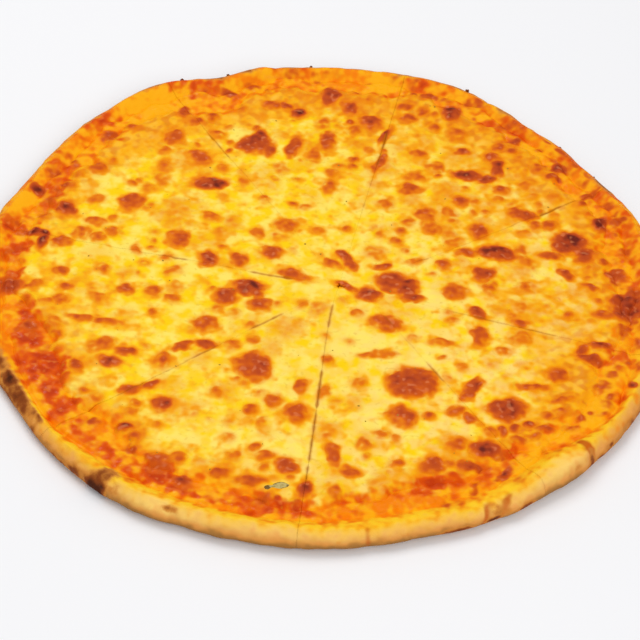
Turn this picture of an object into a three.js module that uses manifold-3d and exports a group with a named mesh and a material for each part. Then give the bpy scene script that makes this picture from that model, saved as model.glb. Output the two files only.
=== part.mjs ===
// A thin baked pizza margherita, cut through into eight slices that lie where they were cut.
// Millimetres, +Z up. The origin is the middle of the underside; -Y is the side where the bare rim is widest.
// Each slice is three solids that rest on each other: the dough base with its rim, the tomato sauce and the
// cheese.
import * as THREE from "three";
import { mergeVertices } from "three/addons/utils/BufferGeometryUtils.js";
import Module from "manifold-3d";

const wasm = await Module();
wasm.setup();

const { clamp, degToRad, radToDeg, lerp, smoothstep, euclideanModulo } = THREE.MathUtils;

// Driving dimensions.
const pizza = { radius: 150, sides: 108, rest: 0.3 }; // rest: the clearance of a layer over the one below
const dough = { floor: 4, crest: 9.2, rim: 12.5, crestIn: 4.6, bulgeUp: 3.4, curlIn: 7, lipIn: 2, lipUp: 1 };
const lift = { up: 2, from: 34, to: 13 }; // how the floor rises to the rim, measured in from the outline
const sauce = { thick: 0.9, lap: 0.2, bareIn: 2 }; // lap: the share of the rim's slope that it runs up
const cheese = { thick: 2.0, edgeThick: 0.7, edgeIn: 7, edgeRound: 0.6, ring: 4.5, rings: 7, sides: 66 };
const dome = { rise: 0.5, risePerWide: 0.055, root: 0.1, sides: 8, bigFrom: 12, bigSides: 11 }; // a blister's
const scatter = { count: 16, seed: 7, small: 5.5, large: 8.5, clear: 2.5 }; // the smaller blisters
const cut = { x: 9, y: -2, gap: 0.8, reach: 190, bendOver: 28 }; // the cuts meet off the middle of the pizza
const herb = { x: -12, y: -120, long: 10, wide: 4, thick: 0.4, turn: 8, wave: 0.3, bow: 0.5, lift: 1.05 };

// Headings of the cuts, in degrees from +X, and how far each bends near its inner end.
const cuts = [
  { heading: -141, bend: -1 },
  { heading: -94.6, bend: -10 },
  { heading: -51.8, bend: 28 },
  { heading: -14, bend: 4 },
  { heading: 31.2, bend: -15 },
  { heading: 79.7, bend: 2.5 },
  { heading: 123.8, bend: -6 },
  { heading: 170.6, bend: 3 },
];

// Unevenness round the pizza: where it is, how many mm it adds, and its half-width in degrees. outline and
// rim are the dough's outer edge and the width of its rim, crest is the rim's height, and ring is how much
// sauce shows between the rim and the cheese.
const uneven = {
  outline: [
    { at: 18, adds: 3.2, wide: 8 },
    { at: 36, adds: -0.9, wide: 5 },
    { at: 47, adds: -2.0, wide: 6 },
    { at: 69, adds: 3.8, wide: 14 },
    { at: 111, adds: -2.8, wide: 5 },
    { at: 125, adds: 4.0, wide: 9 },
    { at: 139, adds: 1.4, wide: 5 },
    { at: 154, adds: -2.2, wide: 9 },
    { at: -147, adds: -2.5, wide: 7 },
    { at: -127, adds: -0.4, wide: 5 },
    { at: -119, adds: 1.3, wide: 9 },
    { at: -104, adds: -1.6, wide: 9 },
    { at: -77, adds: -2.4, wide: 14 },
    { at: -66, adds: -0.8, wide: 5 },
    { at: -43, adds: -1.0, wide: 4 },
    { at: -28, adds: 2.6, wide: 13 },
  ],
  crest: [
    { at: -42, adds: 2.4, wide: 8 },
    { at: -61, adds: -0.8, wide: 4 },
    { at: -100, adds: 0.8, wide: 15 },
    { at: -126, adds: 1.2, wide: 6 },
    { at: -150, adds: -1.0, wide: 14 },
    { at: 20, adds: 0.9, wide: 10 },
    { at: 68, adds: -0.7, wide: 12 },
    { at: 103, adds: 1.2, wide: 8 },
    { at: 122, adds: 1.0, wide: 6 },
  ],
  rim: [
    { at: -52, adds: 3.4, wide: 16 },
    { at: -28, adds: -4.0, wide: 8 },
    { at: -142, adds: -4.5, wide: 13 },
    { at: 45, adds: -2.5, wide: 20 },
    { at: 120, adds: 2.0, wide: 10 },
  ],
  ring: [
    { at: -156, adds: 11, wide: 12 },
    { at: -133, adds: 10, wide: 13 },
    { at: -108, adds: 4, wide: 10 },
    { at: -68, adds: 6, wide: 9 },
    { at: -24, adds: 6, wide: 9 },
    { at: -4, adds: -3, wide: 6 },
    { at: 14, adds: 4, wide: 7 },
    { at: 118, adds: 5, wide: 9 },
  ],
};

// The largest blisters of browned cheese: middle x and y, then width along X and depth along Y.
const blisters = [
  [42, -58, 19, 19], [36, -1, 19, 16], [23, -7, 11, 8], [40, -78, 12, 11], [30, -24, 14, 10],
  [67, -60, 8, 14], [82, -71, 14, 11], [74, -94, 11, 8], [50, -105, 10, 10], [10, -102, 6, 13],
  [120, -34, 15, 12], [103, -49, 9, 7], [71, -28, 7, 12], [89, -28, 9, 9], [112, 33, 15, 17],
  [127, 48, 11, 12], [79, 25, 17, 10], [72, 12, 9, 8], [60, -2, 9, 8], [47, 45, 12, 14],
  [131, -7, 17, 18], [91, 51, 13, 10], [109, 84, 12, 12], [80, 83, 7, 13], [69, 75, 13, 7],
  [58, 120, 12, 14], [39, 64, 10, 8], [19, 109, 9, 10], [0, 126, 9, 13], [0, 94, 7, 12],
  [-33, 90, 17, 16], [-15, 89, 7, 13], [-58, 77, 10, 10], [-52, 60, 14, 8], [-87, 45, 11, 12],
  [-64, 22, 10, 12], [-49, 10, 9, 9], [-21, 17, 11, 8], [-12, 4, 15, 8], [-35, -10, 17, 12],
  [-16, 35, 12, 9], [-116, 36, 10, 12], [-128, 18, 9, 11], [-26, -54, 15, 15], [-6, -79, 10, 9],
  [-48, -30, 9, 9], [-64, -55, 10, 9], [-8, -109, 9, 8], [-60, -111, 14, 9],
];

// A bell of height 1 round `at`, for an angle in degrees.
function bell(angle, at, wide) {
  const away = euclideanModulo(angle - at + 180, 360) - 180;
  return Math.exp(-((away / wide) ** 2));
}

const swell = (bumps, angle) => bumps.reduce((sum, b) => sum + b.adds * bell(angle, b.at, b.wide), 0);
const ripple = (angle, count, phase) => Math.sin(degToRad(angle * count) + phase);

const outlineAt = (angle) => pizza.radius + swell(uneven.outline, angle) + 0.35 * ripple(angle, 17, 1.1);
const crestAt = (angle) => dough.crest + swell(uneven.crest, angle) + 0.25 * ripple(angle, 11, 0.4);
const rimAt = (angle) => dough.rim + swell(uneven.rim, angle) + 0.5 * ripple(angle, 9, 2.0);
const ringAt = (angle) =>
  cheese.ring + swell(uneven.ring, angle) + 1.2 * ripple(angle, 13, 0.7) + 0.8 * ripple(angle, 22, 2.4);
const cheeseEdgeAt = (angle) => outlineAt(angle) - rimAt(angle) - ringAt(angle);

// How much thicker the dough's floor is than in the middle. It carries the sauce and the cheese up with it.
function liftAt(radius, angle) {
  const inset = outlineAt(angle) - radius;
  return lift.up * clamp((lift.from - inset) / (lift.from - lift.to), 0, 1);
}

// Each section is a list of [radius, height] pairs, from the middle of its underside, out, up and in to the
// middle of its top. The dough's runs over the crest of the rim and down to its floor.
function doughSection(angle) {
  const out = outlineAt(angle);
  const high = crestAt(angle);
  const foot = out - rimAt(angle);
  const crest = out - dough.crestIn;
  const level = dough.floor + liftAt(foot, angle);
  return [
    [0, 0],
    [out - dough.curlIn, 0],
    [out - dough.lipIn, dough.lipUp],
    [out, dough.bulgeUp],
    [out - 1.1, 0.72 * high],
    [crest, high],
    [lerp(crest, foot, 0.45), lerp(high, level, 0.3)],
    [lerp(crest, foot, 0.8), lerp(high, level, 0.8)],
    [foot, level],
    [out - lift.from, dough.floor],
    [0, dough.floor],
  ];
}

// The sauce lies on the floor and laps up the rim's inner slope.
function sauceSection(angle) {
  const [shoulder, slope, foot, flat, middle] = doughSection(angle).slice(6);
  const over = ([radius, z], clear) => [radius, z + clear];
  const tip = [lerp(slope[0], shoulder[0], sauce.lap), lerp(slope[1], shoulder[1], sauce.lap)];
  const bare = [foot[0] - sauce.bareIn, dough.floor + liftAt(foot[0] - sauce.bareIn, angle)];
  const top = pizza.rest + sauce.thick;
  return [
    ...[middle, flat, foot, slope, tip].map((point) => over(point, pizza.rest)),
    over(slope, pizza.rest + 0.8 * sauce.thick),
    ...[bare, flat, middle].map((point) => over(point, top)),
  ];
}

const sauceTop = dough.floor + pizza.rest + sauce.thick;
const cheeseFloor = sauceTop + pizza.rest;

// Height of the cheese's own top where the floor isn't lifted, before its blisters.
function cheeseTopAt(radius, angle) {
  const edge = cheeseEdgeAt(angle);
  const x = radius * Math.cos(degToRad(angle));
  const y = radius * Math.sin(degToRad(angle));
  const waves = 0.16 * Math.sin(x / 9 + 0.6) * Math.cos(y / 11) + 0.12 * Math.sin((x - y) / 17);
  const full = smoothstep(edge - radius, 0, cheese.edgeIn);
  return cheeseFloor + lerp(cheese.edgeThick, cheese.thick + waves, full);
}

// The cheese's section: up its thin edge, then in over the top.
function cheeseSection(angle) {
  const edge = cheeseEdgeAt(angle);
  const section = [
    [0, cheeseFloor],
    [outlineAt(angle) - lift.from, cheeseFloor],
    [edge - cheese.edgeRound, cheeseFloor],
    [edge, cheeseFloor + 0.3 * cheese.edgeThick],
    [edge - cheese.edgeRound, cheeseTopAt(edge - cheese.edgeRound, angle)],
  ];
  for (let i = 0; i <= cheese.rings; i++) {
    const radius = (edge - cheese.edgeIn) * (1 - i / cheese.rings);
    section.push([radius, cheeseTopAt(radius, angle)]);
  }
  return section.map(([radius, z]) => [radius, z + liftAt(radius, angle)]);
}

// Turns a three.js geometry into a solid: corners that meet are merged, faces that collapsed are dropped, and
// a shape that came out inside out has its faces turned.
function solidOf(geometry) {
  geometry.deleteAttribute("normal");
  geometry.deleteAttribute("uv");
  const merged = mergeVertices(geometry, 1e-3);
  const corners = merged.index.array;
  const faces = [];
  for (let i = 0; i < corners.length; i += 3) {
    const [a, b, c] = corners.slice(i, i + 3);
    if (a !== b && b !== c && c !== a) faces.push([a, b, c]);
  }
  const build = (triangles) =>
    new wasm.Manifold(
      new wasm.Mesh({
        numProp: 3,
        vertProperties: merged.attributes.position.array,
        triVerts: new Uint32Array(triangles.flat()),
      }),
    );
  const solid = build(faces);
  return solid.volume() > 0 ? solid : build(faces.map(([a, b, c]) => [a, c, b]));
}

// Revolves a section that changes with the angle.
function unevenRound(sectionAt, sides) {
  const blank = sectionAt(0).map(([radius, z]) => new THREE.Vector2(radius, z));
  const lathe = new THREE.LatheGeometry(blank, sides);
  const place = lathe.attributes.position;
  for (let i = 0; i <= sides; i++) {
    const angle = ((i % sides) * 360) / sides;
    sectionAt(angle).forEach(([radius, z], j) => {
      const x = radius * Math.cos(degToRad(angle));
      const y = radius * Math.sin(degToRad(angle));
      place.setXYZ(i * blank.length + j, x, y, z);
    });
  }
  return solidOf(lathe);
}

// One blister: a low dome that reaches down into the cheese. Near the rim it is drawn in, onto the cheese.
function blister([x, y, wide, deep]) {
  const angle = radToDeg(Math.atan2(y, x));
  const radius = Math.min(Math.hypot(x, y), cheeseEdgeAt(angle) - 0.45 * Math.max(wide, deep) - 1);
  const base = cheeseTopAt(radius, angle);
  const sunk = base - cheeseFloor - dome.root;
  const rise = dome.rise + dome.risePerWide * Math.min(wide, deep);
  const big = Math.max(wide, deep) > dome.bigFrom;
  const profile = [
    new THREE.Vector2(0, -sunk),
    new THREE.Vector2(0.96, -sunk),
    new THREE.Vector2(1, 0),
    new THREE.Vector2(big ? 0.78 : 0.66, 0.7 * rise),
    ...(big ? [new THREE.Vector2(0.42, 0.95 * rise)] : []),
    new THREE.Vector2(0, rise),
  ];
  const round = new THREE.LatheGeometry(profile, big ? dome.bigSides : dome.sides);
  round.rotateX(Math.PI / 2).scale(wide / 2, deep / 2, 1);
  round.translate(radius * Math.cos(degToRad(angle)), radius * Math.sin(degToRad(angle)), base);
  const place = round.attributes.position;
  for (let i = 0; i < place.count; i++) {
    const heading = radToDeg(Math.atan2(place.getY(i), place.getX(i)));
    place.setZ(i, place.getZ(i) + liftAt(Math.hypot(place.getX(i), place.getY(i)), heading));
  }
  return solidOf(round);
}

// Smaller blisters at seeded random places, each clear of the ones before it.
function scatteredBlisters() {
  const taken = [...blisters];
  const random = () => THREE.MathUtils.seededRandom();
  THREE.MathUtils.seededRandom(scatter.seed);
  while (taken.length < blisters.length + scatter.count) {
    const size = lerp(scatter.small, scatter.large, random());
    const angle = 360 * random();
    const radius = (cheeseEdgeAt(angle) - size) * Math.sqrt(random());
    const x = radius * Math.cos(degToRad(angle));
    const y = radius * Math.sin(degToRad(angle));
    const apart = ([bx, by, wide, deep]) =>
      Math.hypot(x - bx, y - by) > (size + Math.max(wide, deep)) / 2 + scatter.clear;
    if (taken.every(apart)) taken.push([x, y, size, size * lerp(0.75, 1.25, random())]);
  }
  return taken.slice(blisters.length);
}

// A point on a cut, `away` mm from where the cuts meet, moved sideways by `aside` mm.
function onCut({ heading, bend }, away, aside) {
  const angle = degToRad(heading + bend * Math.exp(-away / cut.bendOver));
  const across = degToRad(heading);
  return new THREE.Vector2(
    cut.x + away * Math.cos(angle) - aside * Math.sin(across),
    cut.y + away * Math.sin(angle) + aside * Math.cos(across),
  );
}

// The prism that holds one slice: between two cuts, each side drawn in by half the width of the blade's path.
function wedge(from, to) {
  const along = [14, 30, 55, 90, cut.reach];
  const half = cut.gap / 2;
  const start = degToRad(from.heading + from.bend);
  const end = degToRad(to.heading + to.bend);
  const spread = euclideanModulo(end - start, 2 * Math.PI);
  const middle = start + spread / 2;
  const inset = half / Math.sin(spread / 2);
  const tip = new THREE.Vector2(cut.x + inset * Math.cos(middle), cut.y + inset * Math.sin(middle));
  const shape = new THREE.Shape([
    tip,
    ...along.map((away) => onCut(from, away, half)),
    ...along.toReversed().map((away) => onCut(to, away, -half)),
  ]);
  const prism = new THREE.ExtrudeGeometry(shape, { depth: 40, bevelEnabled: false });
  prism.translate(0, 0, -10);
  return solidOf(prism);
}

// A torn scrap of basil: a thin leaf, pointed at both ends, bowed and wavy, that lies on the cheese. Its
// upper and lower faces are split into triangles alike.
function herbScrap() {
  const steps = 12;
  const side = (sign) =>
    Array.from({ length: steps + 1 }, (_, i) => {
      const along = (2 * i) / steps - 1;
      const half = (herb.wide / 2) * (0.15 + 0.85 * Math.sqrt(1 - along * along));
      return new THREE.Vector2((herb.long / 2) * along, sign * half + herb.bow * Math.sin(2.1 * along));
    });
  const outline = new THREE.Shape([...side(-1), ...side(1).reverse()]);
  const leaf = new THREE.ExtrudeGeometry(outline, { depth: herb.thick, bevelEnabled: false });
  const place = leaf.attributes.position;
  for (let i = 0; i < place.count; i++) {
    const along = place.getX(i) / (herb.long / 2);
    const across = place.getY(i) / (herb.wide / 2);
    place.setZ(i, place.getZ(i) + herb.wave * (Math.sin(4.2 * along) + across * Math.cos(2.6 * along)));
  }
  const angle = radToDeg(Math.atan2(herb.y, herb.x));
  const radius = Math.hypot(herb.x, herb.y);
  const top = cheeseTopAt(Math.min(radius, cheeseEdgeAt(angle) - cheese.edgeIn), angle) + liftAt(radius, angle);
  leaf.rotateZ(degToRad(herb.turn)).translate(herb.x, herb.y, top + herb.lift);
  return solidOf(leaf);
}

function meshOf(solid, name, material) {
  const { vertProperties, triVerts, numProp, numVert } = solid.getMesh();
  const places = new Float32Array(numVert * 3);
  for (let i = 0; i < numVert; i++) places.set(vertProperties.subarray(i * numProp, i * numProp + 3), i * 3);
  const geometry = new THREE.BufferGeometry();
  geometry.setAttribute("position", new THREE.BufferAttribute(places, 3));
  geometry.setIndex(new THREE.BufferAttribute(triVerts, 1));
  const mesh = new THREE.Mesh(geometry, material);
  mesh.name = name;
  return mesh;
}

const finishes = {
  dough: new THREE.MeshStandardMaterial({ color: "#e9b25e", roughness: 0.75, metalness: 0 }),
  sauce: new THREE.MeshStandardMaterial({ color: "#d9601b", roughness: 0.4, metalness: 0 }),
  cheese: new THREE.MeshStandardMaterial({ color: "#fac63c", roughness: 0.45, metalness: 0 }),
  herb: new THREE.MeshStandardMaterial({ color: "#7d7a45", roughness: 0.6, metalness: 0 }),
};

const layers = {
  dough: unevenRound(doughSection, pizza.sides),
  sauce: unevenRound(sauceSection, pizza.sides),
  cheese: wasm.Manifold.union([
    unevenRound(cheeseSection, cheese.sides),
    ...[...blisters, ...scatteredBlisters()].map(blister),
  ]),
};

const group = new THREE.Group();
cuts.forEach((from, i) => {
  const slice = new THREE.Group();
  const hold = wedge(from, cuts[(i + 1) % cuts.length]);
  for (const [layer, whole] of Object.entries(layers))
    slice.add(meshOf(whole.intersect(hold), `${layer}_${i + 1}`, finishes[layer]));
  group.add(slice);
});
group.add(meshOf(herbScrap(), "herb_scrap", finishes.herb));

export default group;
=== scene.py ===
import math
import random

import bmesh
import bpy
import numpy as np
from mathutils import Matrix, Vector


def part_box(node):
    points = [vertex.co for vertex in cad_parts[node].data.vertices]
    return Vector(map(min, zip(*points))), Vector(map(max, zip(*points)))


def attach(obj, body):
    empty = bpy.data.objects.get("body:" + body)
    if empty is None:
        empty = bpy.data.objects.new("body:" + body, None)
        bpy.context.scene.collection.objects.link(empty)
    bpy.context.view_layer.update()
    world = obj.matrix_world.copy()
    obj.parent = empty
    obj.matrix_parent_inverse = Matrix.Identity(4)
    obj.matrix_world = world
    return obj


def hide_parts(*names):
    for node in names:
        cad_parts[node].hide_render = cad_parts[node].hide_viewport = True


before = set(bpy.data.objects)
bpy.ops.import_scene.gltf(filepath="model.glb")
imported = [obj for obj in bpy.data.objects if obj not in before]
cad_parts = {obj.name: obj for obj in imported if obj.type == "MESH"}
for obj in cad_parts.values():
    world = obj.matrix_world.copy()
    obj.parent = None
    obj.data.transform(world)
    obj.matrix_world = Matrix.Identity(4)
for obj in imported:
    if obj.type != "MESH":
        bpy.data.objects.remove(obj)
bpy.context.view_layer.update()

print("frame loaded,", len(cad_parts), "nodes")

# Everything is worked out in millimetres and degrees, like the CAD, and scaled as a mesh is written.
mm = 0.001
sliceCount = 8
restGap = 0.3  # a layer's clearance over the one below
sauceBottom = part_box("sauce_1")[0].z / mm
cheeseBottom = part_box("cheese_1")[0].z / mm
doughFloor = sauceBottom - restGap

pizza = {"radius": 150, "cutX": 9, "cutY": -2, "bendOver": 28, "cutFade": 2}
dough = {
    "crest": 9.2, "rim": 12.5, "crestIn": 4.6, "bulgeUp": 3.4, "curlIn": 7, "footIn": 10, "lipIn": 2,
    "lipUp": 1, "shoulderIn": 1.1, "shoulder": 0.72, "coreIn": 6.0, "coreUp": 4.2, "flatten": 10.4,
    "flattenBy": 0.6,
}
sauce = {"thick": 0.9, "lap": 0.2}
cheese = {"thick": 2.0, "edgeThick": 0.7, "edgeIn": 7, "ring": 4.5}
lift = {"up": 2.0, "from": 34, "to": 13}  # measured in from the outline

# Headings of the cuts and how far each bends near its inner end.
cuts = [(-141, -1), (-94.6, -10), (-51.8, 28), (-14, 4), (31.2, -15), (79.7, 2.5), (123.8, -6), (170.6, 3)]
# Where each cut still shows, as it melted shut elsewhere: from and to, in mm from where the cuts meet, and
# how much.
cutSpans = [
    [(30, 48, 0.6), (64, 79, 0.5), (79, 101, 0.35), (103, 117, 0.45)],
    [(12, 27, 0.65), (27, 50, 0.4), (52, 74, 0.85), (76, 91, 0.6), (91, 104, 0.8), (106, 116, 0.75)],
    [(26, 34, 0.5), (42, 50, 0.35), (59, 72, 0.5)],
    [(50, 60, 0.35), (60, 80, 0.5), (80, 98, 0.5)],
    [(38, 45, 0.4), (83, 92, 0.3), (104, 116, 0.9), (116, 134, 0.45)],
    [(52, 56, 0.3), (68, 75, 0.3), (82, 93, 0.6), (94, 105, 0.9)],
    [(97, 117, 0.45)],
    [(21, 40, 0.7), (45, 55, 0.3), (68, 82, 0.5), (82, 92, 0.25)],
]

# Places where a size round the pizza swells or shrinks: heading, how many mm it adds, half-width in degrees.
swells = {
    "outline": [
        (18, 3.2, 8), (36, -0.9, 5), (47, -2.0, 6), (69, 3.8, 14), (111, -2.8, 5), (125, 4.0, 9),
        (139, 1.4, 5), (154, -2.2, 9), (-147, -2.5, 7), (-127, -0.4, 5), (-119, 1.3, 9), (-104, -1.6, 9),
        (-77, -2.4, 14), (-66, -0.8, 5), (-43, -1.0, 4), (-28, 2.6, 13),
    ],
    "crest": [
        (-42, 2.4, 8), (-61, -0.8, 4), (-100, 0.8, 15), (-126, 1.2, 6), (-150, -1.0, 14), (20, 0.9, 10),
        (68, -0.7, 12), (103, 1.2, 8), (122, 1.0, 6),
    ],
    "rim": [
        (-52, 3.4, 16), (-28, -4.0, 8), (-142, -4.5, 13), (45, -2.5, 20), (120, 2.0, 10),
    ],
    "ring": [
        (-156, 11, 12), (-133, 10, 13), (-108, 4, 10), (-68, 6, 9), (-24, 6, 9), (-4, -3, 6), (14, 4, 7),
        (118, 5, 9),
    ],
}
# Waves all round: how high, how many of them, phase.
waves = {
    "outline": [(0.35, 17, 1.1)], "crest": [(0.25, 11, 0.4)], "rim": [(0.5, 9, 2.0)],
    "ring": [(1.2, 13, 0.7), (0.8, 22, 2.4)], "cheeseEdge": [(1.1, 41, 0.3), (0.7, 67, 1.9), (0.5, 119, 0.9)],
    "sauceEdge": [(0.10, 19, 0.2), (0.08, 37, 1.2), (0.05, 71, 2.2)],
}
# Layers of noise: how much, mm between its features, seed.
layers = {
    "blisterX": [(0.8, 5.1, 21), (0.3, 2.6, 22)], "blisterY": [(0.8, 5.3, 23), (0.3, 2.5, 24)],
    "patchX": [(2.6, 7.0, 61), (1.2, 3.1, 62)], "patchY": [(2.6, 7.4, 63), (1.2, 2.9, 64)],
    "cheese": [(0.22, 7.5, 3), (0.14, 3.4, 4), (0.06, 1.7, 5)], "sauce": [(0.34, 4.2, 31), (0.22, 2.0, 32)],
    "cut": [(0.16, 2.6, 9), (0.34, 8.0, 10)], "core": [(0.14, 3.8, 71)], "toast": [(0.25, 26, 12)],
}
latticeSize = 64
search = {"start": 140.0, "rounds": 14}


def srgb(red, green, blue):
    # a screen colour, 0 to 255, as the linear colour that a shader wants
    parts = [c / 255 for c in (red, green, blue)]
    return tuple(c / 12.92 if c <= 0.04045 else ((c + 0.055) / 1.055) ** 2.4 for c in parts) + (1,)


def smooth(value, start, end):
    t = np.clip((value - start) / (end - start), 0, 1)
    return t * t * (3 - 2 * t)


def hill(distance, wide):
    return np.exp(-((distance / wide) ** 2))


def apart(angle, at):
    # degrees from one heading to another, between -180 and 180
    return (angle - at + 180) % 360 - 180


def bell(angle, at, wide):
    return hill(apart(angle, at), wide)


def around(table, angle):
    # amounts that fade out on either side of their headings
    return sum(amount * bell(angle, at, wide) for at, amount, wide in table)


def vary(value, name, angle):
    value = value + around(swells.get(name, []), angle)
    for high, count, phase in waves[name]:
        value = value + high * np.sin(np.radians(angle * count) + phase)
    return value


def outlineAt(angle):
    return vary(pizza["radius"], "outline", angle)


def crestAt(angle):
    return vary(dough["crest"], "crest", angle)


def rimAt(angle):
    return vary(dough["rim"], "rim", angle)


def cheeseEdgeAt(angle):
    return outlineAt(angle) - rimAt(angle) - vary(cheese["ring"], "ring", angle)


def liftAt(radius, angle):
    # the dough grows thicker towards the rim and carries the sauce and cheese up with it
    inset = outlineAt(angle) - radius
    return lift["up"] * np.clip((lift["from"] - inset) / (lift["from"] - lift["to"]), 0, 1)


def softNoise(x, y, size, seed):
    # value noise from -1 to 1 whose features are `size` mm apart
    lattice = np.random.RandomState(seed).uniform(-1, 1, (latticeSize, latticeSize))
    gx, gy = x / size, y / size
    ix, iy = np.floor(gx).astype(int), np.floor(gy).astype(int)
    fx, fy = gx - ix, gy - iy
    fx, fy = fx * fx * (3 - 2 * fx), fy * fy * (3 - 2 * fy)
    corner = [[lattice[(ix + i) % latticeSize, (iy + j) % latticeSize] for j in (0, 1)] for i in (0, 1)]
    near = corner[0][0] * (1 - fx) + corner[1][0] * fx
    far = corner[0][1] * (1 - fx) + corner[1][1] * fx
    return near * (1 - fy) + far * fy


def layered(value, x, y, name):
    for amount, size, seed in layers[name]:
        value = value + amount * softNoise(x, y, size, seed)
    return value


def angleOf(x, y):
    return np.degrees(np.arctan2(y, x))


def pointAt(angle, radius):
    return radius * math.cos(math.radians(angle)), radius * math.sin(math.radians(angle))


def cutHeading(k, away):
    heading, bend = cuts[k % sliceCount]
    turns = 360 * (k // sliceCount)
    return np.radians(heading + turns + bend * np.exp(-away / pizza["bendOver"]))


def slicePoint(k, across, away, gap):
    # `across` runs from 0 on one cut to 1 on the next, `away` is the distance from where the cuts meet
    start, end = cutHeading(k, away), cutHeading(k + 1, away)
    heading = start + (end - start) * across
    aside = gap * (1 - 2 * across)
    x = pizza["cutX"] + away * np.cos(heading) - aside * np.sin(heading)
    y = pizza["cutY"] + away * np.sin(heading) + aside * np.cos(heading)
    return x, y


def awayTo(k, across, gap, radiusAt):
    # how far from the cuts' meeting point the slice reaches a radius that changes with the heading
    away = np.full_like(across, search["start"])
    for _ in range(search["rounds"]):
        x, y = slicePoint(k, across, away, gap)
        away = away + radiusAt(angleOf(x, y)) - np.hypot(x, y)
    return away


def tipAway(k, gap):
    spread = cutHeading(k + 1, 0.0) - cutHeading(k, 0.0)
    return gap / math.tan(spread / 2)


def rowsBetween(start, end, parts):
    # rows of a grid at parts of the way from a slice's tip to the end of each column
    return start + (end - start)[None] * np.array(parts)[:, None]


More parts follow.
